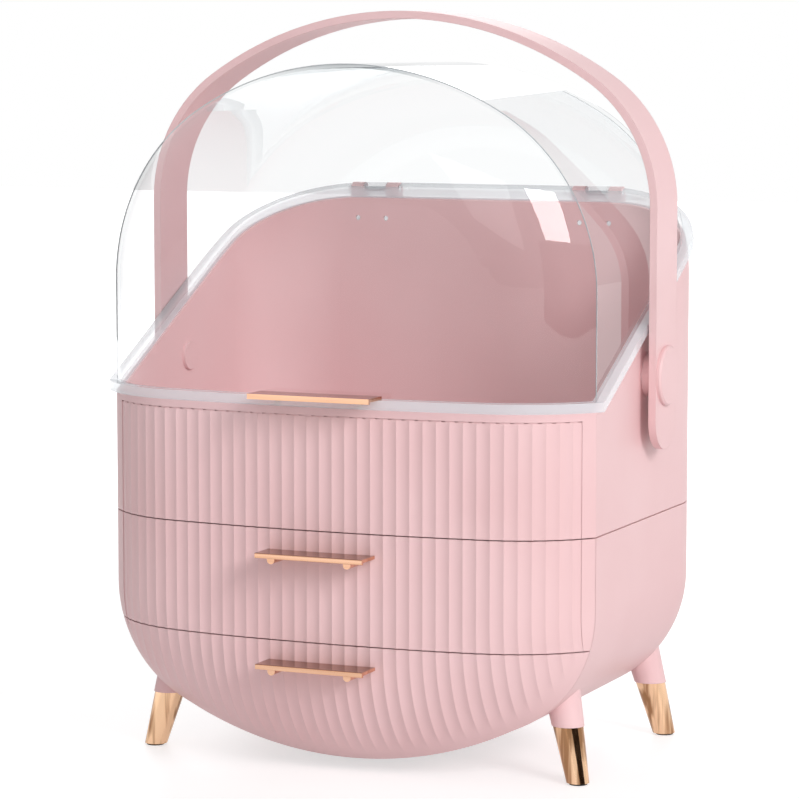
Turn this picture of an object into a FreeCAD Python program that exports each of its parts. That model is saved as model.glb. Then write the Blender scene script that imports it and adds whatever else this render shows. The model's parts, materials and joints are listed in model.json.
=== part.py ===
import FreeCAD, Part
import os
from math import sqrt, sin, asin, cos, radians

os.makedirs("parts", exist_ok=True)
V = FreeCAD.Vector

# Case envelope, mm. Z up from the floor, X across, the front faces -Y.
halfWidth = 141.0
bodyBottom = 9.0
coverTop = 380.6
sideDepth = 190.0
bottomRadius = 235.0
bottomCorner = 70.0
topRadius = 170.0
topCorner = 110.0
rearRound = 50.0

# Bowed front: a shallow arc across, rolled back all round to a crisp oval edge.
frontRadius = 715.0
frontCorner = 71.0
frontSpread = 12.0

# Reeds on the front
ribPitch = 7.3
ribGroove = 1.9
ribDepth = 1.2
ribSink = 0.4
ribCount = 39
ribShift = 0.4
ribLip = 4.4
ribEdge = 1.5
ribRollShare = 0.6

# Levels
seamLower = 75.0
seamUpper = 135.0
seamGap = 0.6
deckTop = 140.0
deckThick = 2.5
rimFront = 201.0
rimRear = 301.0
shelfThick = 2.5

# Walls and clearances
bodyWall = 3.0
coverWall = 2.2
frontGap = 0.6
rimGap = 0.3
runGap = 0.3
pinGap = 0.1
screwGap = 0.05
revealDepth = 1.2
tongueWall = 2.0
tongueDrop = 4.0

# Cover flange
flangeProud = 4.5
flangeTall = 5.2

# Drawers
trayInset = 9.0
trayWall = 2.0
trayBack = 16.0
trayTopDrop = 6.0
earHalf = 3.0
earRoot = 8.0
earGap = 1.5
drawerTravel = 120.0
railHalf = 4.0
railX = 62.0
railTall = 2.0
railFront = 3.0
railBack = 40.0
skidX = 40.0
skidBack = 60.0
skidTop = 31.0
stopX = 96.0
stopHalf = 5.0
stopThick = 4.0

# Drawer pulls: a shelf with a turned-down lip on two short posts
pullLength = 62.0
pullReach = 16.0
pullThick = 1.8
pullLip = 2.8
pullPostX = 22.0
pullPostRadius = 2.2
pullPostSink = 0.6
pullDropUpper = 11.0
pullDropLower = 10.5
coverPullLength = 70.0
coverPullReach = 16.0
coverPullLip = 2.8
coverPinRadius = 1.3
coverPinX = 24.0

# Handle
handleHalf = 151.0
handleTop = 408.8
handleSpring = 303.5
handleCorner = 85.0
handleThick = 4.2
handleWidth = 33.0
pivotDepth = 81.0
pivotZ = 213.0
armDrop = 40.0
bossRadius = 12.0
bossEndGap = 0.1
bossHoleStart = 10.0
studRadius = 3.9
studHeadRadius = 8.0
studHeadThick = 2.0
bushWall = 1.4
bushFlangeRadius = 11.0
bushFlangeThick = 1.2
capRadius = 16.2
capProud = 2.6
capBevel = 1.0
capSkirtRadius = 7.4

# Cover hinge
hingeX = 70.0
hingeOut = 4.7
hingeRise = 4.0
knuckleRadius = 4.0
knuckleHalf = 15.0
knuckleMid = 7.0
knuckleGap = 0.3
hingePinRadius = 1.5
leafDrop = 22.0
leafThick = 2.5
leafScrewX = 9.0
leafScrewDrop = 17.0

# Legs
legX = 126.5
legFrontDepth = 15.0
legRearDepth = 155.0
legLeanX = 0.24
legLeanY = 0.125
legJoint = 30.5
legTopZ = 62.0
legFootRadius = 6.1
legJointRadius = 8.3
legTopRadius = 10.5
padRadius = 4.8
padThick = 2.2
padShow = 1.0

# Fasteners
screwRadius = 1.4
screwHeadRadius = 2.9
screwHeadThick = 1.7
legScrewRadius = 2.0
legScrewHead = 3.9
legSeatZ = 40.0
postRadius = 4.5
postX = 55.0
postInset = 10.0
postTall = 34.0

# Derived places
frontCentreX = halfWidth + frontSpread - frontCorner
frontCentreDrop = sqrt((frontRadius - frontCorner) ** 2 - frontCentreX ** 2)
bulge = frontRadius - frontCentreDrop - sqrt(frontCorner ** 2 - (frontCorner - frontSpread) ** 2)
edgeY = (bulge + pullReach - sideDepth - hingeOut - knuckleRadius) / 2
rearY = edgeY + sideDepth
frontY = edgeY - bulge
pivotY = edgeY + pivotDepth
hingeY = rearY + hingeOut
hingeZ = rimRear + hingeRise
rimSlope = (rimRear - rimFront) / sideDepth
armInner = handleHalf - handleThick
bushOuter = studRadius + pinGap + bushWall
bossEnd = armInner - bushFlangeThick - 2 * bossEndGap
far = 500.0


def box(x0, x1, y0, y1, z0, z1):
    return Part.makeBox(x1 - x0, y1 - y0, z1 - z0, V(x0, y0, z0))


def rodX(radius, x0, x1, y, z):
    return Part.makeCylinder(radius, x1 - x0, V(x0, y, z), V(1, 0, 0))


def rodY(radius, y0, y1, x, z):
    return Part.makeCylinder(radius, y1 - y0, V(x, y0, z), V(0, 1, 0))


def rodZ(radius, z0, z1, x, y):
    return Part.makeCylinder(radius, z1 - z0, V(x, y, z0), V(0, 0, 1))


def mirrored(shape):
    return shape.mirror(V(0, 0, 0), V(1, 0, 0))


def fused(shapes):
    return shapes[0].multiFuse(shapes[1:]).removeSplitter()


def save(name, shapes):
    whole = Part.makeCompound(shapes) if len(shapes) > 1 else shapes[0]
    whole.exportStep("parts/" + name + ".step")


def arc(a, b, c):
    return Part.Arc(a, b, c).toShape()


def archPoints(middle, radius, corner, half, sign, inset):
    """Right half of a two-arc arch: middle, join, corner middle, springing."""
    centre = V(0, 0, middle - sign * radius)
    across = half - corner
    reach = V(across, 0, sign * sqrt((radius - corner) ** 2 - across ** 2))
    cornerCentre = centre + reach
    lean = V(reach).normalize()
    bisect = (lean + V(1, 0, 0)).normalize()
    top = centre + V(0, 0, sign * (radius - inset))
    join = centre + lean * (radius - inset)
    return top, join, cornerCentre + bisect * (corner - inset), cornerCentre + V(corner - inset, 0, 0)


def archEdges(points):
    top, join, mid, end = points
    left = [V(-p.x, p.y, p.z) for p in (join, mid, end)]
    return [arc(end, mid, join), arc(join, top, left[0]), arc(left[0], left[1], left[2])]


def outline(inset, y):
    low = archPoints(bodyBottom, bottomRadius, bottomCorner, halfWidth, -1, inset)
    high = archPoints(coverTop, topRadius, topCorner, halfWidth, 1, inset)
    right = Part.makeLine(low[3], high[3])
    left = Part.makeLine(V(-high[3].x, 0, high[3].z), V(-low[3].x, 0, low[3].z))
    ring = [right] + archEdges(high) + [left]
    ring += [e for e in reversed(archEdges(low))]
    wire = Part.Wire(Part.__sortEdges__(ring))
    wire.translate(V(0, y, 0))
    return wire


def extruded(inset, y0, y1):
    return Part.Face(outline(inset, y0)).extrude(V(0, y1 - y0, 0))


def roundedPrism(inset):
    back = rearY - inset
    solid = extruded(inset, frontY - 30, back)
    rim = [e for e in solid.Edges if all(abs(v.Point.y - back) < 1e-4 for v in e.Vertexes)]
    return solid.makeFillet(rearRound - inset, rim)


def bowedPrism(inset):
    solid = extruded(inset - frontSpread, frontY - 30, rearY + 30)
    axis = V(0, frontY + frontRadius, -far)
    solid = solid.common(Part.makeCylinder(frontRadius - inset, 3 * far, axis, V(0, 0, 1)))
    radius = frontRadius - inset
    bow = [f for f in solid.Faces if f.Surface.TypeId == "Part::GeomCylinder"
           and abs(f.Surface.Radius - radius) < 1e-6][0]
    return solid.makeFillet(frontCorner - inset, bow.Edges)


envelopes = {}


def envelope(inset):
    if inset not in envelopes:
        envelopes[inset] = roundedPrism(inset).common(bowedPrism(inset))
    return envelopes[inset]


def aboveRim(lift):
    back = rearY + hingeOut + 2 * knuckleRadius
    top = 2 * far
    level = rimFront + lift
    rise = level + rimSlope * (back - edgeY)
    points = [V(-far, -far, level), V(-far, edgeY, level), V(-far, back, rise), V(-far, back, top)]
    points += [V(-far, -far, top), V(-far, -far, level)]
    return Part.Face(Part.makePolygon(points)).extrude(V(2 * far, 0, 0))


def sunkFront(depth):
    """The front moved in, so that what stands before it is a cut of one depth."""
    floor = envelope(0).copy()
    floor.translate(V(0, depth, depth * ribRollShare))
    return floor


def grooves(z0, z1):
    """Field of reeds, sunk behind the lip, with the slots between them."""
    half = ribGroove / 2
    places = [reedX((i - (ribCount - 1) / 2 + ribShift) * ribPitch) for i in range(ribCount)]
    front = frontY - 5
    back = edgeY - ribEdge
    slots = [box(x - half, x + half, front, back, z0, z1) for x in places]
    field = box(places[0] - half, places[-1] + half, front, back, z0, z1)
    return [field.cut(sunkFront(ribSink)), Part.makeCompound(slots).cut(sunkFront(ribDepth))]


def reedX(along):
    """Across position of a point a given length along the bowed front."""
    side = 1 if along > 0 else -1
    turn = frontCentreX / (frontRadius - frontCorner)
    swing = abs(along) / frontRadius
    if sin(swing) <= turn:
        return side * frontRadius * sin(swing)
    flat = frontRadius * asin(turn)
    swing = asin(turn) + (abs(along) - flat) / frontCorner
    return side * (frontCentreX + frontCorner * sin(swing))


def makeUpperTub():
    bottom = seamUpper - seamGap / 2
    body = envelope(0).common(box(-far, far, -far, far, bottom, far))
    body = body.cut(envelope(bodyWall).common(box(-far, far, -far, far, deckTop, far)))
    under = envelope(bodyWall).common(box(-far, far, -far, far, 0, deckTop - deckThick))
    body = body.cut(under).cut(aboveRim(0))
    body = body.cut(box(-far, far, -far, edgeY, 0, seamUpper + seamGap / 2))
    reveal = envelope(-1).cut(envelope(revealDepth))
    body = body.cut(reveal.common(box(-far, far, edgeY, far, 0, seamUpper + seamGap / 2)))
    tongue = envelope(bodyWall + screwGap).cut(envelope(bodyWall + tongueWall))
    tongueBox = box(-far, far, edgeY + 12, far, bottom - tongueDrop, deckTop - deckThick)
    body = body.fuse(tongue.common(tongueBox))
    body = body.cut(grooves(seamUpper, rimFront - ribLip))
    for side in (-1, 1):
        place = (side * postX, rearY - postInset)
        body = body.cut(rodZ(postRadius + 1, bottom - tongueDrop - 1, deckTop - deckThick, *place))
        body = body.cut(box(place[0] - 2, place[0] + 2, place[1], rearY - bodyWall, bottom - tongueDrop, bottom + 1))
        body = body.fuse(rodZ(postRadius, bottom, deckTop - 1, *place))
        body = body.cut(rodZ(screwRadius + screwGap, bottom - 1, deckTop + 1, *place))
        for end in (-1, 1):
            x = side * hingeX + end * leafScrewX
            body = body.cut(rodY(screwRadius + screwGap, rearY - 9, rearY + 1, x, hingeZ - leafScrewDrop))
    boss = rodX(bossRadius, halfWidth - 1, bossEnd, pivotY, pivotZ)
    hole = rodX(studRadius + screwGap, halfWidth - bossHoleStart, bossEnd + 1, pivotY, pivotZ)
    body = body.fuse([boss, mirrored(boss)]).cut([hole, mirrored(hole)])
    return body.removeSplitter()


def legFoot(sideX, front):
    y = edgeY + (legFrontDepth if front else legRearDepth)
    return V(sideX * legX, y, 0)


def legAxis(sideX, front):
    return V(-sideX * legLeanX, legLeanY if front else -legLeanY, 1)


def legCone(sideX, front, r0, r1, z0, z1):
    lean = legAxis(sideX, front)
    start = legFoot(sideX, front) + lean * z0
    return Part.makeCone(r0, r1, (z1 - z0) * lean.Length, start, lean)


def legRod(sideX, front, radius, z0, z1):
    lean = legAxis(sideX, front)
    start = legFoot(sideX, front) + lean * z0
    return Part.makeCylinder(radius, (z1 - z0) * lean.Length, start, lean)


def legs():
    return [(sx, front) for sx in (-1, 1) for front in (True, False)]


def makeLowerCabinet():
    top = seamUpper - seamGap / 2
    body = envelope(0).common(box(-far, far, edgeY + frontGap, far, 0, top))
    sockets = []
    for sx, front in legs():
        cone = legCone(sx, front, legJointRadius, legTopRadius, legJoint - 6, legTopZ)
        sockets.append(cone.common(box(-far, far, -far, far, legJoint, far)))
    body = body.fuse(sockets)
    body = body.cut(envelope(bodyWall))
    for sx, front in legs():
        body = body.cut(legRod(sx, front, legScrewRadius + screwGap, 0, legTopZ))
        body = body.cut(legRod(sx, front, legScrewHead + 0.2, legSeatZ, legTopZ))
    for side in (-1, 1):
        place = (side * postX, rearY - postInset)
        post = rodZ(postRadius, seamUpper - postTall, top, *place)
        rib = box(place[0] - 1.5, place[0] + 1.5, place[1], rearY - 2, seamUpper - postTall, top)
        bore = rodZ(screwRadius, top - 14, top + 1, *place)
        body = body.fuse([post, rib]).cut(bore)
    return body.removeSplitter()


def makeDivider():
    """Shelf between the drawers with two raised running strips."""
    low = seamLower - shelfThick / 2
    high = seamLower + shelfThick / 2
    shelf = envelope(bodyWall).common(box(-far, far, edgeY + frontGap, far, low, high))
    for side in (-1, 1):
        x = side * railX
        strip = box(x - railHalf, x + railHalf, edgeY + railFront, rearY - railBack, high, high + railTall)
        shelf = shelf.fuse(strip)
    return shelf.removeSplitter()


def makeFloorRails():
    """Two skids standing on the curved floor under the lower drawer."""
    gap = trayInset - runGap
    skin = envelope(bodyWall).cut(envelope(gap))
    rails = []
    for side in (-1, 1):
        x = side * skidX
        length = box(x - railHalf, x + railHalf, edgeY + railFront, rearY - skidBack, 0, bodyBottom + skidTop)
        rails.append(skin.common(length))
    return rails


def makeStops(roof):
    """Blocks under a roof that catch the ears of a tray at full travel."""
    y = rearY - trayBack - trayWall - drawerTravel - runGap
    blocks = []
    for side in (-1, 1):
        x = side * stopX
        blocks.append(box(x - stopHalf, x + stopHalf, y - stopThick, y, roof - trayTopDrop + earGap, roof))
    return blocks


def trayLevels(upper):
    if upper:
        return seamLower + shelfThick / 2 + railTall + runGap, deckTop - deckThick
    return 0, seamLower - shelfThick / 2


def makeTray(upper):
    floor, roof = trayLevels(upper)
    top = roof - trayTopDrop
    back = rearY - trayBack
    outer = envelope(trayInset).common(box(-far, far, edgeY, back, floor, top))
    inner = envelope(trayInset + trayWall)
    inner = inner.common(box(-far, far, edgeY + trayWall, back - trayWall, floor + trayWall, top + 1))
    tray = outer.cut(inner)
    for side in (-1, 1):
        x = side * stopX
        tray = tray.fuse(box(x - earHalf, x + earHalf, back - trayWall, back, top - earRoot, roof - earGap))
    return tray.removeSplitter()


def frontSkin(z0, z1):
    """Bowed and reeded fascia, open to the rear."""
    block = envelope(0).common(box(-far, far, -far, edgeY, z0, z1))
    hollow = envelope(bodyWall).common(box(-far, far, -far, edgeY + 1, z0 + bodyWall, z1 - bodyWall))
    return block.cut(hollow).cut(grooves(z0 - 1, z1 + 1))


def makeFascia(upper):
    if upper:
        skin = frontSkin(seamLower + seamGap / 2, seamUpper - seamGap / 2)
    else:
        skin = frontSkin(0, seamLower - seamGap / 2)
    z = pullPostZ(upper)
    for side in (-1, 1):
        skin = skin.cut(rodY(screwRadius + screwGap, frontY - 5, frontY + 8, side * pullPostX, z))
    return skin


def pullTopZ(upper):
    if upper:
        return seamUpper - pullDropUpper
    return seamLower - pullDropLower


def pullPostZ(upper):
    return pullTopZ(upper) - pullThick - pullPostRadius + pullPostSink


def makePull(upper):
    z = pullTopZ(upper)
    half = pullLength / 2
    tip = frontY - pullReach
    shelf = box(-half, half, tip, frontY + 4, z - pullThick, z)
    lip = box(-half, half, tip, tip + pullThick, z - pullLip, z)
    posts = []
    for side in (-1, 1):
        posts.append(rodY(pullPostRadius, tip + pullThick / 2, frontY + 4, side * pullPostX, pullPostZ(upper)))
    pull = fused([shelf, lip] + posts).cut(envelope(0))
    for side in (-1, 1):
        bore = rodY(screwRadius + screwGap, frontY - 8, frontY + 5, side * pullPostX, pullPostZ(upper))
        pull = pull.cut(bore)
    rim = [e for e in pull.Edges if abs(e.BoundBox.YMax - tip) < 1e-4 and e.BoundBox.XLength > pullLength - 1]
    return pull.makeFillet(0.6, rim)


def innerFrontY(x, z):
    """Inside face of the bowed wall, where it rolls back towards the bottom."""
    across = frontRadius - bodyWall
    y = frontY + bodyWall + across - sqrt(across ** 2 - x ** 2)
    below = bodyBottom - frontSpread + frontCorner - z
    if below > 0:
        roll = frontCorner - bodyWall
        y += roll - sqrt(roll ** 2 - below ** 2)
    return y


def makePullScrews(upper):
    z = pullPostZ(upper)
    screws = []
    for side in (-1, 1):
        seat = innerFrontY(pullPostX + screwHeadRadius, z - screwHeadRadius)
        shank = rodY(screwRadius, frontY - 6, seat + 0.5, side * pullPostX, z)
        head = rodY(screwHeadRadius, seat, seat + screwHeadThick, side * pullPostX, z)
        slot = box(side * pullPostX - 0.4, side * pullPostX + 0.4, seat + 0.9, seat + 3, z - 2, z + 2)
        screws.append(shank.fuse(head).cut(slot))
    return screws


def makeCaseScrews():
    screws = []
    for side in (-1, 1):
        x = side * postX
        y = rearY - postInset
        shank = rodZ(screwRadius - screwGap, seamUpper - 12, deckTop + 0.5, x, y)
        head = rodZ(screwHeadRadius, deckTop, deckTop + screwHeadThick, x, y)
        slot = box(x - 0.4, x + 0.4, y - 2, y + 2, deckTop + 0.8, deckTop + 3)
        screws.append(shank.fuse(head).cut(slot))
    return screws


def makeCover():
    shell = envelope(0).common(aboveRim(rimGap))
    band = aboveRim(rimGap).cut(aboveRim(rimGap + flangeTall))
    cover = shell.fuse(envelope(-flangeProud).common(band))
    for side in (-1, 1):
        x = side * hingeX
        room = knuckleHalf + 1
        cover = cover.cut(box(x - room, x + room, rearY, rearY + 20, hingeZ - 12, hingeZ + 14))
        lug = box(x - knuckleMid, x + knuckleMid, rearY - 1, hingeY, hingeZ - 1.2, hingeZ + knuckleRadius)
        knuckle = rodX(knuckleRadius, x - knuckleMid, x + knuckleMid, hingeY, hingeZ)
        bore = rodX(hingePinRadius + pinGap, x - 20, x + 20, hingeY, hingeZ)
        cover = cover.fuse([lug, knuckle]).cut(bore)
    cover = cover.cut(envelope(coverWall))
    for side in (-1, 1):
        cover = cover.cut(rodZ(coverPinRadius + screwGap, rimFront, rimFront + 9, side * coverPinX, coverPinY(side)))
    return cover.removeSplitter()


def coverPinY(side):
    return frontY + frontRadius - sqrt(frontRadius ** 2 - coverPinX ** 2) - flangeProud / 2


def makeCoverPull():
    z = rimFront + rimGap + flangeTall
    half = coverPullLength / 2
    tip = frontY - coverPullReach
    shelf = box(-half, half, tip, frontY + 4, z, z + pullThick)
    lip = box(-half, half, tip, tip + pullThick, z + pullThick - coverPullLip, z + pullThick)
    pull = fused([shelf, lip]).cut(envelope(0))
    for side in (-1, 1):
        pull = pull.fuse(rodZ(coverPinRadius, z - 3.6, z + 0.5, side * coverPinX, coverPinY(side)))
    return pull.removeSplitter()


def makeHingeLeaf(side):
    """Leaf on the outside of the back wall with its two outer knuckles."""
    x = side * hingeX
    leaf = box(x - knuckleHalf, x + knuckleHalf, rearY, rearY + leafThick, hingeZ - leafDrop, hingeZ - 5.5)
    parts = [leaf]
    for end in (-1, 1):
        x0 = x + end * knuckleHalf
        x1 = x + end * (knuckleMid + knuckleGap)
        lo, hi = min(x0, x1), max(x0, x1)
        parts.append(rodX(knuckleRadius, lo, hi, hingeY, hingeZ))
        parts.append(box(lo, hi, rearY, hingeY + knuckleRadius, hingeZ - leafDrop / 2, hingeZ))
    body = fused(parts)
    for end in (-1, 1):
        x0 = x + end * (knuckleMid + knuckleGap)
        lo, hi = min(x0, x + end * 16), max(x0, x + end * 16)
        body = body.cut(box(lo, hi, rearY - 1, hingeY - knuckleRadius, hingeZ - 6, hingeZ + 5))
        body = body.cut(rodY(screwRadius + screwGap, rearY - 1, rearY + 12, x + end * leafScrewX, hingeZ - leafScrewDrop))
    return body.cut(rodX(hingePinRadius + screwGap, x - 20, x + 20, hingeY, hingeZ))


def makeHingePins():
    pins = []
    for side in (-1, 1):
        x = side * hingeX
        pins.append(rodX(hingePinRadius, x - knuckleHalf, x + knuckleHalf, hingeY, hingeZ))
    return pins


def makeHingeScrews():
    screws = []
    for side in (-1, 1):
        for end in (-1, 1):
            x = side * hingeX + end * leafScrewX
            z = hingeZ - leafScrewDrop
            shank = rodY(screwRadius, rearY - 2.5, rearY + leafThick + 0.2, x, z)
            head = rodY(screwHeadRadius, rearY + leafThick, rearY + leafThick + 1.4, x, z)
            screws.append(shank.fuse(head))
    return screws


def strapOutline(inset):
    radius = topStrapRadius()
    points = archPoints(handleTop, radius, handleCorner, handleHalf, 1, inset)
    return points


def topStrapRadius():
    """Top radius that carries the corner arc down to the chosen springing."""
    across = handleHalf - handleCorner
    rise = handleTop - handleSpring
    return (across ** 2 + rise ** 2 - handleCorner ** 2) / (2 * (rise - handleCorner))


def makeStrap():
    low = pivotZ - armDrop
    outer = strapOutline(0)
    inner = strapOutline(handleThick)
    edges = archEdges(outer) + archEdges(inner)
    for half in (handleHalf, handleHalf - handleThick):
        for side in (-1, 1):
            edges.append(Part.makeLine(V(side * half, 0, low), V(side * half, 0, handleSpring)))
    for side in (-1, 1):
        edges.append(Part.makeLine(V(side * handleHalf, 0, low), V(side * (handleHalf - handleThick), 0, low)))
    face = Part.Face(Part.Wire(Part.__sortEdges__(edges)))
    strap = face.extrude(V(0, handleWidth, 0))
    strap.translate(V(0, pivotY - handleWidth / 2, 0))
    half = handleWidth / 2
    keep = box(-far, far, -far, far, low + half, far)
    keep = keep.fuse(rodX(half, -far, far, pivotY, low + half))
    strap = strap.common(keep)
    bore = rodX(capSkirtRadius + screwGap, -far, far, pivotY, pivotZ)
    return strap.cut(bore).removeSplitter()


def makeCap(side):
    """Round button with a skirt seated in the bore of the arm."""
    disc = rodX(capRadius, handleHalf, handleHalf + capProud, pivotY, pivotZ)
    rim = [e for e in disc.Edges if abs(e.BoundBox.XMin - handleHalf - capProud) < 1e-4]
    disc = disc.makeChamfer(capBevel, rim)
    skirt = rodX(capSkirtRadius, armInner + 0.2, handleHalf + 0.5, pivotY, pivotZ)
    room = rodX(bushOuter + pinGap, armInner - 1, handleHalf + 0.2, pivotY, pivotZ)
    cap = disc.fuse(skirt).cut(room)
    return cap if side > 0 else mirrored(cap)


def makeBushes():
    """Bearing bushes between the fixed studs and the arms."""
    sleeve = rodX(bushOuter, armInner - 0.5, handleHalf - 0.1, pivotY, pivotZ)
    flange = rodX(bushFlangeRadius, armInner - bushFlangeThick - bossEndGap, armInner - bossEndGap, pivotY, pivotZ)
    bore = rodX(studRadius + pinGap, armInner - 5, handleHalf + 1, pivotY, pivotZ)
    bush = sleeve.fuse(flange).cut(bore)
    return [bush, mirrored(bush)]


def makeStuds():
    head = rodX(studHeadRadius, halfWidth - bodyWall - studHeadThick, halfWidth - bodyWall, pivotY, pivotZ)
    shank = rodX(studRadius, halfWidth - bodyWall - 0.5, handleHalf - 0.2, pivotY, pivotZ)
    stud = head.fuse(shank).removeSplitter()
    return [stud, mirrored(stud)]


def makeLegTip(sx, front):
    cone = legCone(sx, front, legFootRadius - 0.2, legJointRadius, -2, legJoint + 2)
    tip = cone.common(box(-far, far, -far, far, padShow, legJoint))
    foot = legFoot(sx, front)
    tip = tip.cut(rodZ(padRadius + screwGap, 0, padThick, foot.x, foot.y))
    return tip.cut(legRod(sx, front, legScrewRadius + screwGap, 12, legSeatZ))


def makeFootPads():
    return [rodZ(padRadius, 0, padThick, legFoot(sx, f).x, legFoot(sx, f).y) for sx, f in legs()]


def makeLegScrews():
    screws = []
    for sx, front in legs():
        shank = legRod(sx, front, legScrewRadius, 13, legSeatZ + 1)
        head = legRod(sx, front, legScrewHead, legSeatZ, legSeatZ + 2)
        screws.append(shank.fuse(head).removeSplitter())
    return screws


save("upper_tub", [makeUpperTub()])
save("lower_cabinet", [makeLowerCabinet()])
save("drawer_divider", [makeDivider()])
save("floor_rails", makeFloorRails())
save("drawer_stops_upper", makeStops(deckTop - deckThick))
save("drawer_stops_lower", makeStops(seamLower - shelfThick / 2))
save("case_screws", makeCaseScrews())
for name, upper in (("upper", True), ("lower", False)):
    save("drawer_tray_" + name, [makeTray(upper)])
    save("drawer_fascia_" + name, [makeFascia(upper)])
    save("drawer_pull_" + name, [makePull(upper)])
    save("drawer_pull_screws_" + name, makePullScrews(upper))
save("cover", [makeCover()])
save("cover_pull", [makeCoverPull()])
save("hinge_leaf_left", [makeHingeLeaf(-1)])
save("hinge_leaf_right", [makeHingeLeaf(1)])
save("hinge_pins", makeHingePins())
save("hinge_screws", makeHingeScrews())
save("handle_strap", [makeStrap()])
save("handle_cap_left", [makeCap(-1)])
save("handle_cap_right", [makeCap(1)])
save("handle_bushes", makeBushes())
save("pivot_studs", makeStuds())
for sx, front in legs():
    place = ("front" if front else "rear") + ("_left" if sx < 0 else "_right")
    save("leg_tip_" + place, [makeLegTip(sx, front)])
save("foot_pads", makeFootPads())
save("leg_screws", makeLegScrews())
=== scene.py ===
import bpy
import json
from math import asin, atan2, cos, hypot, pi, sin, sqrt
from mathutils import Matrix, Vector


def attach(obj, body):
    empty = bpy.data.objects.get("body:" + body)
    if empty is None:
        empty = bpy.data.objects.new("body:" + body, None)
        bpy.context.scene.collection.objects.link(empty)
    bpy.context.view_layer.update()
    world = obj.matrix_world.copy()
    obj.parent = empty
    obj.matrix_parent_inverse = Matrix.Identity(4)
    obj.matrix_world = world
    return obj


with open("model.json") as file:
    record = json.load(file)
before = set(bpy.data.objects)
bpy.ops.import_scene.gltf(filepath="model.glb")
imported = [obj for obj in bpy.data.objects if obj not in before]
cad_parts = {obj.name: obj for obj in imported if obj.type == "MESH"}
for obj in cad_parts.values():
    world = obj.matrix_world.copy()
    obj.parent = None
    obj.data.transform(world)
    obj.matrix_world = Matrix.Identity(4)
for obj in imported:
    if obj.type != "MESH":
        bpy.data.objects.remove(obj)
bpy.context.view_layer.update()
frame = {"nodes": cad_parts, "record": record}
nodes = frame["nodes"]
print("frame loaded:", len(nodes), "nodes")


# small helpers for node materials

def newMaterial(name):
    mat = bpy.data.materials.new(name)
    mat.use_nodes = True
    tree = mat.node_tree
    return mat, tree, tree.nodes["Principled BSDF"]


def addNode(tree, kind, **values):
    node = tree.nodes.new(kind)
    for key, value in values.items():
        if hasattr(node, key):
            setattr(node, key, value)
        else:
            node.inputs[key].default_value = value
    return node


def objectCoords(tree):
    return addNode(tree, "ShaderNodeTexCoord").outputs["Object"]


def noiseAt(tree, scale, detail=3.0):
    noise = addNode(tree, "ShaderNodeTexNoise", Scale=scale, Detail=detail)
    tree.links.new(objectCoords(tree), noise.inputs["Vector"])
    return noise.outputs["Fac"]


def ramp(tree, factor, low, high, start=0.3, end=0.7):
    node = addNode(tree, "ShaderNodeValToRGB")
    node.color_ramp.elements[0].position = start
    node.color_ramp.elements[0].color = (*low, 1)
    node.color_ramp.elements[1].position = end
    node.color_ramp.elements[1].color = (*high, 1)
    tree.links.new(factor, node.inputs["Fac"])
    return node.outputs["Color"]


def spread(tree, factor, low, high):
    node = addNode(tree, "ShaderNodeMapRange")
    node.inputs["To Min"].default_value = low
    node.inputs["To Max"].default_value = high
    tree.links.new(factor, node.inputs["Value"])
    return node.outputs["Result"]


def bumpFrom(tree, height, strength, distance, edgeRound=0.0):
    node = addNode(tree, "ShaderNodeBump", Strength=strength, Distance=distance)
    tree.links.new(height, node.inputs["Height"])
    if edgeRound:
        soft = addNode(tree, "ShaderNodeBevel", samples=4, Radius=edgeRound)
        tree.links.new(soft.outputs[0], node.inputs["Normal"])
    return node.outputs["Normal"]


def mathNode(tree, operation, first, second):
    node = addNode(tree, "ShaderNodeMath", operation=operation)
    for socket, value in zip(node.inputs, (first, second)):
        if isinstance(value, float):
            socket.default_value = value
        else:
            tree.links.new(value, socket)
    return node.outputs[0]


# moulded pastel plastic: a faint drift of colour and a fine satin grain
pinkPlastic = {
    "deep": (0.80, 0.522, 0.53),
    "pale": (0.85, 0.585, 0.595),
    "driftScale": 9.0,
    "grainScale": 1400.0,
    "grainHeight": 0.00003,
    "roughLow": 0.38,
    "roughHigh": 0.50,
    "edgeRound": 0.0005,
}


def makeMoulded(name, look):
    mat, tree, shader = newMaterial(name)
    drift = noiseAt(tree, look["driftScale"])
    tree.links.new(ramp(tree, drift, look["deep"], look["pale"]), shader.inputs["Base Color"])
    grain = noiseAt(tree, look["grainScale"], 2.0)
    tree.links.new(spread(tree, grain, look["roughLow"], look["roughHigh"]), shader.inputs["Roughness"])
    normal = bumpFrom(tree, grain, 0.25, look["grainHeight"], look["edgeRound"])
    tree.links.new(normal, shader.inputs["Normal"])
    shader.inputs["IOR"].default_value = 1.46
    return mat


whitePlastic = dict(pinkPlastic, deep=(0.78, 0.75, 0.73), pale=(0.84, 0.82, 0.80))
padRubber = dict(
    pinkPlastic, deep=(0.035, 0.033, 0.033), pale=(0.06, 0.057, 0.055),
    roughLow=0.7, roughHigh=0.85,
)


# plated metal: streaks of tone along the legs or the pulls, and fine handling marks in the roughness; on the
# gold legs the dark streaks are painted reflections, and the pulls' top faces are painted darker (painted
# shade)
# painted reflection: the deep end of the gold's streaked tone is far darker than gold, dark reflection
# streaks painted into the legs on top of a drawn tone
goldPlate = {
    "deep": (0.33, 0.17, 0.085), "pale": (0.80, 0.52, 0.33),
    "streaks": (230.0, 230.0, 9.0), "streakFrom": 0.40, "streakTo": 0.56,
    "roughLow": 0.06, "roughHigh": 0.14,
}
rosePlate = {
    "deep": (0.66, 0.36, 0.22), "pale": (0.82, 0.50, 0.34),
    "streaks": (12.0, 300.0, 300.0), "streakFrom": 0.3, "streakTo": 0.7,
    "roughLow": 0.08, "roughHigh": 0.18,
    # painted shade: top faces of the pulls painted dark brown, standing in for the dark surroundings they
    # reflect
    "upper": (0.30, 0.145, 0.08), "upperFrom": 0.6,
}
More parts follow.
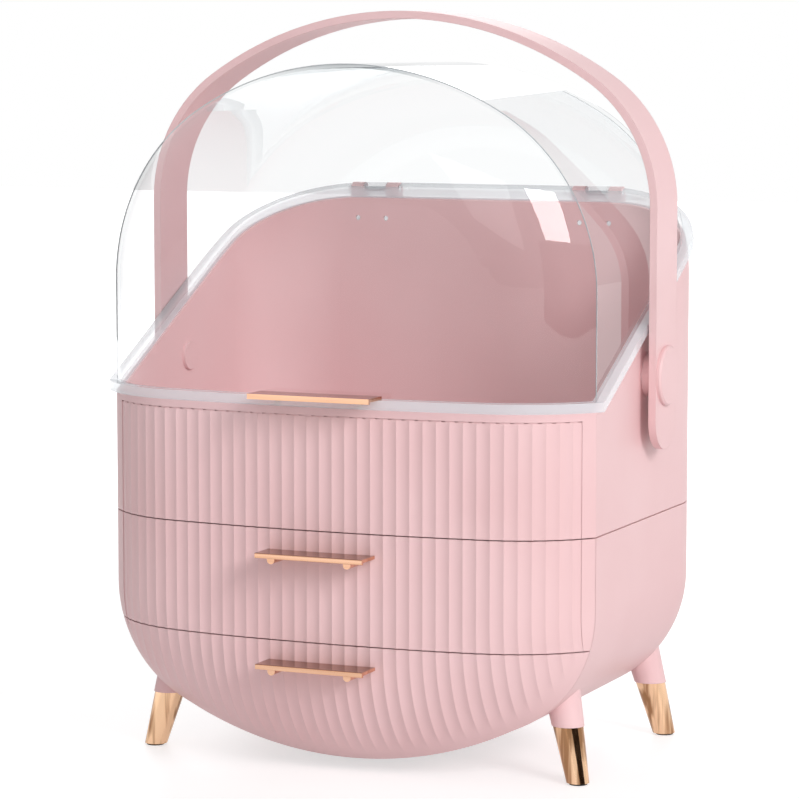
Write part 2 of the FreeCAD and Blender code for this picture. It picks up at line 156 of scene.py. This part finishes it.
screwSteel = {
    "deep": (0.52, 0.52, 0.54), "pale": (0.66, 0.66, 0.68),
    "streaks": (60.0, 60.0, 60.0), "streakFrom": 0.3, "streakTo": 0.7,
    "roughLow": 0.22, "roughHigh": 0.36,
}


handlingMarks = {"scale": 700.0, "detail": 6.0, "strength": 0.08, "height": 0.00002}


def makeMetal(name, look):
    mat, tree, shader = newMaterial(name)
    shader.inputs["Metallic"].default_value = 1.0
    # tone streaks stretched along one axis; on the gold legs their dark end is painted reflection
    drawn = addNode(tree, "ShaderNodeMapping", Scale=look["streaks"])
    tree.links.new(objectCoords(tree), drawn.inputs["Vector"])
    tone = addNode(tree, "ShaderNodeTexNoise", Scale=1.0, Detail=2.0)
    tree.links.new(drawn.outputs["Vector"], tone.inputs["Vector"])
    color = ramp(tree, tone.outputs["Fac"], look["deep"], look["pale"], look["streakFrom"], look["streakTo"])
    # painted shade: faces whose normal points up get the dark top colour, a painted reflection of dark
    # surroundings
    if "upper" in look:
        parts = addNode(tree, "ShaderNodeSeparateXYZ")
        tree.links.new(addNode(tree, "ShaderNodeTexCoord").outputs["Normal"], parts.inputs[0])
        paintedTopShade = mathNode(tree, "GREATER_THAN", parts.outputs["Z"], look["upperFrom"])
        faces = addNode(tree, "ShaderNodeMix", data_type="RGBA")
        tree.links.new(paintedTopShade, faces.inputs[0])  # then 6 and 7, the colour sockets of a mix
        tree.links.new(color, faces.inputs[6])
        faces.inputs[7].default_value = (*look["upper"], 1)
        color = faces.outputs[2]
    tree.links.new(color, shader.inputs["Base Color"])
    marks = noiseAt(tree, handlingMarks["scale"], handlingMarks["detail"])
    tree.links.new(spread(tree, marks, look["roughLow"], look["roughHigh"]), shader.inputs["Roughness"])
    normal = bumpFrom(tree, marks, handlingMarks["strength"], handlingMarks["height"])
    tree.links.new(normal, shader.inputs["Normal"])
    return mat


# clear acrylic: thin walls seen straight through, painted grey shade where they are seen edge on (standing
# in for refraction), a Fresnel gloss that brightens them there, and a painted pale sheen on the rim flange
clearAcrylic = {
    "body": (0.992, 0.995, 0.996),
    "veil": (0.93, 0.94, 0.945),
    "edge": (0.30, 0.33, 0.35),
    "bodyEnd": 0.55, "veilAt": 0.86,
    "ior": 1.46,
    "smearScale": 25.0,
    "roughLow": 0.0,
    "roughHigh": 0.03,
    "shade": (0.94, 0.945, 0.95),
    "rimLevel": 0.201, "rimEdge": -0.0729775, "rimSlope": 0.526316,
    "flangeTall": 0.0056,
    "flangeSheen": (0.80, 0.83, 0.87),
    "flangeSheenShare": 0.42,
}


def mixShaders(tree, factor, first, second):
    mix = addNode(tree, "ShaderNodeMixShader")
    tree.links.new(factor, mix.inputs[0])
    tree.links.new(first, mix.inputs[1])
    tree.links.new(second, mix.inputs[2])
    return mix.outputs[0]


def flangeMask(tree, look):
    # one on the rim flange, nought on the dome: height over the sloping rim
    parts = addNode(tree, "ShaderNodeSeparateXYZ")
    tree.links.new(objectCoords(tree), parts.inputs[0])
    back = mathNode(tree, "SUBTRACT", parts.outputs["Y"], look["rimEdge"])
    back = mathNode(tree, "MAXIMUM", back, 0.0)
    rise = mathNode(tree, "MULTIPLY", back, look["rimSlope"])
    over = mathNode(tree, "SUBTRACT", parts.outputs["Z"], look["rimLevel"])
    over = mathNode(tree, "SUBTRACT", over, rise)
    return mathNode(tree, "LESS_THAN", over, look["flangeTall"])


def makeClear(name, look):
    mat, tree, shader = newMaterial(name)
    smears = noiseAt(tree, look["smearScale"], 5.0)
    rough = spread(tree, smears, look["roughLow"], look["roughHigh"])
    edgeOn = addNode(tree, "ShaderNodeLayerWeight", Blend=0.5).outputs["Facing"]
    through = addNode(tree, "ShaderNodeBsdfTransparent")
    # painted shade: the see-through colour turns grey where the wall is seen edge on
    tintAndGrazeShade = addNode(tree, "ShaderNodeValToRGB")
    stops = tintAndGrazeShade.color_ramp.elements
    stops[0].position, stops[0].color = look["bodyEnd"], (*look["body"], 1)
    stops[1].position, stops[1].color = 1.0, (*look["edge"], 1)
    stops.new(look["veilAt"]).color = (*look["veil"], 1)
    tree.links.new(edgeOn, tintAndGrazeShade.inputs["Fac"])
    tree.links.new(tintAndGrazeShade.outputs["Color"], through.inputs["Color"])
    gloss = addNode(tree, "ShaderNodeBsdfGlossy", Color=(1, 1, 1, 1))
    tree.links.new(rough, gloss.inputs["Roughness"])
    shine = addNode(tree, "ShaderNodeFresnel", IOR=look["ior"]).outputs[0]
    side = addNode(tree, "ShaderNodeNewGeometry").outputs["Backfacing"]
    outward = mathNode(tree, "SUBTRACT", 1.0, side)
    dome = mixShaders(tree, mathNode(tree, "MULTIPLY", shine, outward), through.outputs[0], gloss.outputs[0])
    # painted reflection: a pale bluish veil over the rim flange, standing in for the white room seen in the
    # clear flange
    shader.inputs["Base Color"].default_value = (*look["flangeSheen"], 1)
    tree.links.new(rough, shader.inputs["Roughness"])
    veil = mathNode(tree, "MULTIPLY", flangeMask(tree, look), look["flangeSheenShare"])
    seen = mixShaders(tree, veil, dome, shader.outputs[0])
    clearShade = addNode(tree, "ShaderNodeBsdfTransparent", Color=(*look["shade"], 1))
    shadowRay = addNode(tree, "ShaderNodeLightPath").outputs["Is Shadow Ray"]
    surface = mixShaders(tree, shadowRay, seen, clearShade.outputs[0])
    tree.links.new(surface, tree.nodes["Material Output"].inputs["Surface"])
    return mat


# painted shade: the grey of the tube along the dome's front edge
paintedEdgeShade = dict(
    pinkPlastic, deep=(0.33, 0.36, 0.38), pale=(0.50, 0.54, 0.56),
    roughLow=0.15, roughHigh=0.25, edgeRound=0.0,
)


finishes = {
    "dome_edge": makeMoulded("paintedEdgeShade", paintedEdgeShade),
    "pink_plastic": makeMoulded("pinkMoulded", pinkPlastic),
    "white_plastic": makeMoulded("whiteMoulded", whitePlastic),
    "rubber": makeMoulded("padRubber", padRubber),
    "gold_plate": makeMetal("goldPlate", goldPlate),
    "rose_gold": makeMetal("rosePlate", rosePlate),
    "steel": makeMetal("screwSteel", screwSteel),
    "clear_plastic": makeClear("clearAcrylic", clearAcrylic),
}


def dressNodes():
    slots = {part["node"]: part["material_slot"] for part in frame["record"]["subparts"]}
    for name, obj in nodes.items():
        obj.data.materials.clear()
        obj.data.materials.append(finishes[slots[name]])


dressNodes()
print("nodes dressed:", len(finishes), "finishes")


# the bowed front, as a ball leaves it that rolls round an inner outline; sizes as the case has them
bowedFront = {
    "front": -0.1097225, "edge": -0.0729775,
    "bow": 0.715, "ball": 0.071, "spread": 0.012, "half": 0.141, "thirds": 28,
    "low": {"middle": 0.244, "radius": 0.235, "corner": 0.070, "side": -1},
    "high": {"middle": 0.2106, "radius": 0.170, "corner": 0.110, "side": 1},
}


def archPoint(look, arch, turn, inset):
    # point of the case's outline where it faces a given turn from straight down or up
    across = look["half"] - arch["corner"]
    reach = arch["radius"] - arch["corner"]
    if sin(turn) < across / reach:
        size = arch["radius"] - inset
        return size * sin(turn), arch["middle"] + arch["side"] * size * cos(turn)
    size = arch["corner"] - inset
    rise = sqrt(reach * reach - across * across) + size * cos(turn)
    return across + size * sin(turn), arch["middle"] + arch["side"] * rise


def ballY(look, x):
    reach = look["bow"] - look["ball"]
    return look["front"] + look["bow"] - sqrt(reach * reach - x * x)


def ballFront(look, x, z, turn):
    # front of the ball above x, z when it stands at one turn of the low arch
    ballX, ballZ = archPoint(look, look["low"], turn, look["ball"] - look["spread"])
    away = (x - ballX) ** 2 + (z - ballZ) ** 2
    if away >= look["ball"] ** 2:
        return 1 + away
    return ballY(look, ballX) - sqrt(look["ball"] ** 2 - away)


def onBow(look, x, z):
    # true where the plain bow is in front, before the ball starts to roll it back
    x = x * (look["bow"] - look["ball"]) / look["bow"]
    inset = look["ball"] - look["spread"]
    sideX, springZ = archPoint(look, look["low"], pi / 2, inset)
    if z >= springZ:
        return x <= sideX
    arch = look["low"]
    turn = atan2(x, arch["middle"] - z)
    across = look["half"] - arch["corner"]
    if sin(turn) < across / (arch["radius"] - arch["corner"]):
        return hypot(x, arch["middle"] - z) <= arch["radius"] - inset
    return hypot(x - across, z - springZ) <= arch["corner"] - inset


def frontAt(look, x, z):
    x = abs(x)
    if onBow(look, x, z):
        return look["front"] + look["bow"] - sqrt(look["bow"] ** 2 - x * x)
    sideX, springZ = archPoint(look, look["low"], pi / 2, look["ball"] - look["spread"])
    if z >= springZ:
        return ballY(look, sideX) - sqrt(look["ball"] ** 2 - (x - sideX) ** 2)
    low, high = 0.0, pi / 2
    for step in range(look["thirds"]):
        third = (high - low) / 3
        if ballFront(look, x, z, low + third) < ballFront(look, x, z, high - third):
            high -= third
        else:
            low += third
    return ballFront(look, x, z, (low + high) / 2)


def acrossAt(look, along):
    # across position of a point a given length along the bowed front
    side = 1 if along > 0 else -1
    sideX = look["half"] + look["spread"] - look["ball"]
    turn = asin(sideX / (look["bow"] - look["ball"]))
    swing = abs(along) / look["bow"]
    if swing <= turn:
        return side * look["bow"] * sin(swing)
    swing = turn + (abs(along) - look["bow"] * turn) / look["ball"]
    return side * (sideX + look["ball"] * sin(swing))


# flutes: a shallow scoop over each slot, sharp ridges between them, run out smooth towards the bottom edge
flutes = {
    "pitch": 0.0073, "count": 39, "shift": 0.4, "tuck": 0.0018,
    "sink": 0.0004, "roll": 0.6, "margin": 0.0015,
    "scoop": -0.00002, "ridge": 0.00037, "proud": 0.00028, "under": -0.00003,
    "halvings": 18, "across": 12, "lipGap": 0.0006, "lipFade": 0.002, "plainEnd": 0.002, "fade": 0.012,
    "rows": [
        {"node": "upper_tub", "body": "case", "low": 0.1353, "high": 0.1966,
         "steps": 10, "crowd": 2.0, "lip": True},
        {"node": "drawer_fascia_upper", "body": "upper_drawer", "low": 0.0753, "high": 0.1347,
         "steps": 27, "crowd": 1.0, "lip": False},
        {"node": "drawer_fascia_lower", "body": "lower_drawer", "low": 0.004, "high": 0.0747,
         "steps": 40, "crowd": 1.0, "lip": False},
    ],
}


def smooth(part):
    part = min(1.0, max(0.0, part))
    return part * part * (3 - 2 * part)


def marginAt(front, look, x, high):
    # level where the field of flutes ends at the smooth margin, or None beside the field
    back = front["edge"] - look["margin"]
    if frontAt(front, x, high) > back:
        return None
    low, top = 0.0, high
    for step in range(look["halvings"]):
        level = (low + top) / 2
        if frontAt(front, x, level) > back:
            low = level
        else:
            top = level
    return top


def fluteColumn(front, look, row, x, u):
    # points down one line of a flute; the first and last turn in to meet the case
    top = row["high"] - (look["lipGap"] if row["lip"] else 0.0)
    end = marginAt(front, look, x, row["high"])
    if end is None or end > top - look["plainEnd"]:
        return None
    bottom = max(row["low"], end)
    points = []
    for step in range(row["steps"] + 1):
        z = top - (top - bottom) * (step / row["steps"]) ** row["crowd"]
        fade = smooth((z - end - look["plainEnd"]) / look["fade"])
        lift = smooth((top - z) / look["lipFade"]) if row["lip"] else 1.0
        ridge = look["ridge"] + look["proud"] * fade * lift
        rise = ridge - (ridge - look["scoop"]) * fade * (1 - u * u)
        points.append((rise, z))
    points = [(look["under"], top), points[0]] + points + [points[-1], (look["under"], bottom)]
    column = []
    for rise, z in points:
        deep = look["sink"] - rise
        column.append((x, frontAt(front, x, z - look["roll"] * deep) + deep, z))
    return column


def addFlute(front, look, row, index, verts, faces):
    middle = (index - (look["count"] - 1) / 2 + look["shift"]) * look["pitch"]
    start = look["tuck"] if index == 0 else look["pitch"] / 2
    stop = look["tuck"] if index == look["count"] - 1 else look["pitch"] / 2
    columns = []
    for k in range(look["across"] + 1):
        offset = -start + (start + stop) * k / look["across"]
        column = fluteColumn(front, look, row, acrossAt(front, middle + offset), 2 * offset / look["pitch"])
        if column:
            columns.append(column)
    first = len(verts)
    for column in columns:
        verts.extend(column)
    tall = row["steps"] + 5
    for k in range(len(columns) - 1):
        for r in range(tall - 1):
            if r in (1, tall - 3):
                continue
            a = first + k * tall + r
            faces.append((a, a + 1, a + tall + 1, a + tall))


def makeFlutes(front, look):
    for row in look["rows"]:
        verts, faces = [], []
        for index in range(look["count"]):
            addFlute(front, look, row, index, verts, faces)
        name = "flutes_" + row["node"]
        mesh = bpy.data.meshes.new(name)
        mesh.from_pydata(verts, [], faces)
        mesh.polygons.foreach_set("use_smooth", [True] * len(mesh.polygons))
        mesh.materials.append(finishes["pink_plastic"])
        obj = bpy.data.objects.new(name, mesh)
        bpy.context.scene.collection.objects.link(obj)
        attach(obj, row["body"])


makeFlutes(bowedFront, flutes)
print("flutes laid")


# the crisp front edge of the clear dome: a fine grey tube along it, painted shade standing in for the line
# that refraction draws at a moulded edge
domeEdge = {"radius": 0.00028, "inset": 0.0004, "foot": 0.2068, "steps": 60, "around": 6}


def makeDomeEdge(front, look):
    inset = front["ball"] - front["spread"]
    drop = sqrt(front["ball"] ** 2 - inset * inset)
    line = []
    for step in range(look["steps"] + 1):
        turn = pi / 2 * step / look["steps"]
        x, z = archPoint(front, front["high"], turn, look["inset"])
        ballX = archPoint(front, front["high"], turn, inset)[0]
        line.append((x, ballY(front, ballX) - drop + look["inset"], z))
    foot = (line[-1][0], line[-1][1], look["foot"])
    right = line + [foot]
    left = [(-x, y, z) for x, y, z in right[1:]]
    data = bpy.data.curves.new("dome_edge", "CURVE")
    data.dimensions = "3D"
    data.bevel_depth = look["radius"]
    data.bevel_resolution = look["around"] // 2
    spline = data.splines.new("POLY")
    route = list(reversed(left)) + right
    spline.points.add(len(route) - 1)
    for point, place in zip(spline.points, route):
        point.co = (*place, 1)
    data.materials.append(finishes["dome_edge"])
    obj = bpy.data.objects.new("dome_edge", data)
    bpy.context.scene.collection.objects.link(obj)
    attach(obj, "lid")


makeDomeEdge(bowedFront, domeEdge)
print("dome edge drawn")


# camera: a long lens, turned a little to the case's left side
camera = {
    "place": (0.7278, -1.6734, 0.3933),
    "ahead": (-0.39757, 0.91114, -0.10848),
    "up": (-0.04338, 0.09943, 0.99410),
    "lens": 148.76,
    "sensor": 36.0,
}


def makeCamera(look):
    data = bpy.data.cameras.new("camera")
    data.lens = look["lens"]
    data.sensor_width = look["sensor"]
    obj = bpy.data.objects.new("camera", data)
    ahead = Vector(look["ahead"]).normalized()
    right = ahead.cross(Vector(look["up"])).normalized()
    up = right.cross(ahead)
    turn = Matrix((right, up, -ahead)).transposed()
    obj.matrix_world = Matrix.Translation(look["place"]) @ turn.to_4x4()
    bpy.context.scene.collection.objects.link(obj)
    bpy.context.scene.camera = obj


aimAt = (0, 0, 0.2)


def flatSheet(name, wide, tall):
    # a flat rectangle, given by half its width and half its height
    corners = [(-wide, -tall, 0), (wide, -tall, 0), (wide, tall, 0), (-wide, tall, 0)]
    mesh = bpy.data.meshes.new(name)
    mesh.from_pydata(corners, [], [(0, 1, 2, 3)])
    return mesh


# white room: pale floor that glows with painted light away from the case, a big soft lamp ahead right, a
# weaker one on the left and one behind
studio = {
    "floorSize": 12.0,
    "floorColor": (0.90, 0.90, 0.905),
    "floorSeen": (0.50, 0.50, 0.502),
    "grainScale": 40.0, "grainDip": 0.985, "floorRough": 0.6,
    "liftNear": 0.60, "liftFar": 1.02, "nearTo": 0.45, "farFrom": 1.3,
    "roomLight": 0.42,
    "keyPlace": (2.6, -1.5, 1.7), "keySize": 1.2, "keyPower": 59.0,
    "fillPlace": (0.9, -2.9, 1.5), "fillSize": 1.6, "fillPower": 11.0,
    "backPlace": (-1.3, 2.6, 1.5), "backSize": 1.6, "backPower": 18.0,
}


def softLamp(name, place, size, power):
    data = bpy.data.lights.new(name, "AREA")
    data.shape = "SQUARE"
    data.size = size
    data.energy = power
    obj = bpy.data.objects.new(name, data)
    obj.location = place
    aim = Vector(aimAt) - Vector(place)
    obj.rotation_euler = aim.to_track_quat("-Z", "Y").to_euler()
    bpy.context.scene.collection.objects.link(obj)


def whiteSeen(tree):
    path = addNode(tree, "ShaderNodeLightPath")
    seen = path.outputs["Is Camera Ray"]
    for ray in ("Is Glossy Ray", "Is Transmission Ray"):
        most = addNode(tree, "ShaderNodeMath", operation="MAXIMUM")
        tree.links.new(seen, most.inputs[0])
        tree.links.new(path.outputs[ray], most.inputs[1])
        seen = most.outputs[0]
    return seen


def makeRoom(look):
    world = bpy.data.worlds.new("room")
    bpy.context.scene.world = world
    world.use_nodes = True
    tree = world.node_tree
    back = tree.nodes["Background"]
    back.inputs["Color"].default_value = (1, 1, 1, 1)
    level = spread(tree, whiteSeen(tree), look["roomLight"], 1.0)
    tree.links.new(level, back.inputs["Strength"])
    softLamp("keyLamp", look["keyPlace"], look["keySize"], look["keyPower"])
    softLamp("fillLamp", look["fillPlace"], look["fillSize"], look["fillPower"])
    softLamp("backLamp", look["backPlace"], look["backSize"], look["backPower"])


def makeFloor(look):
    half = look["floorSize"] / 2
    floor = bpy.data.objects.new("floor", flatSheet("floor", half, half))
    bpy.context.scene.collection.objects.link(floor)
    mat, tree, shader = newMaterial("paleFloor")
    grain = noiseAt(tree, look["grainScale"])
    low = tuple(look["grainDip"] * part for part in look["floorColor"])
    seen = tuple(look["grainDip"] * part for part in look["floorSeen"])
    # painted light: for camera, glossy and transmission rays the floor shows a darker colour plus a glow,
    # weak near the case and rising to white far off, around the case's real shadow
    tone = addNode(tree, "ShaderNodeMix", data_type="RGBA")
    tree.links.new(whiteSeen(tree), tone.inputs[0])  # then 6 and 7, the colour sockets of a mix
    tree.links.new(ramp(tree, grain, low, look["floorColor"]), tone.inputs[6])
    tree.links.new(ramp(tree, grain, seen, look["floorSeen"]), tone.inputs[7])
    tree.links.new(tone.outputs[2], shader.inputs["Base Color"])
    shader.inputs["Roughness"].default_value = look["floorRough"]
    shader.inputs["Emission Color"].default_value = (1, 1, 1, 1)
    away = addNode(tree, "ShaderNodeVectorMath", operation="LENGTH")
    tree.links.new(objectCoords(tree), away.inputs[0])
    lift = addNode(tree, "ShaderNodeMapRange")
    lift.inputs["From Min"].default_value = look["nearTo"]
    lift.inputs["From Max"].default_value = look["farFrom"]
    lift.inputs["To Min"].default_value = look["liftNear"]
    lift.inputs["To Max"].default_value = look["liftFar"]
    tree.links.new(away.outputs["Value"], lift.inputs["Value"])
    glow = mathNode(tree, "MULTIPLY", lift.outputs["Result"], whiteSeen(tree))
    tree.links.new(glow, shader.inputs["Emission Strength"])
    floor.data.materials.append(mat)


# narrow dark cards beside the lamps: they give the plated parts their dark streaks
cards = {
    "color": (0.03, 0.022, 0.018), "weaveScale": 300.0, "weavePale": 1.5, "rough": 0.9,
    "places": [(2.6, -1.05, 0.3), (-2.2, 1.2, 0.3)], "wide": 2.6, "tall": 1.4,
}


def makeCards(look):
    mat, tree, shader = newMaterial("cardCloth")
    weave = noiseAt(tree, look["weaveScale"])
    pale = tuple(look["weavePale"] * part for part in look["color"])
    tree.links.new(ramp(tree, weave, look["color"], pale), shader.inputs["Base Color"])
    shader.inputs["Roughness"].default_value = look["rough"]
    wide, tall = look["wide"] / 2, look["tall"] / 2
    for count, place in enumerate(look["places"]):
        card = bpy.data.objects.new(f"card{count + 1}", flatSheet("card", wide, tall))
        card.data.materials.append(mat)
        card.location = place
        aim = Vector(aimAt) - Vector(place)
        card.rotation_euler = aim.to_track_quat("Z", "Y").to_euler()
        card.visible_camera = card.visible_diffuse = card.visible_shadow = card.visible_transmission = False
        bpy.context.scene.collection.objects.link(card)


makeCamera(camera)
makeRoom(studio)
makeFloor(studio)
makeCards(cards)
bpy.context.scene.view_settings.view_transform = "Standard"
print("camera, floor and lamps placed")
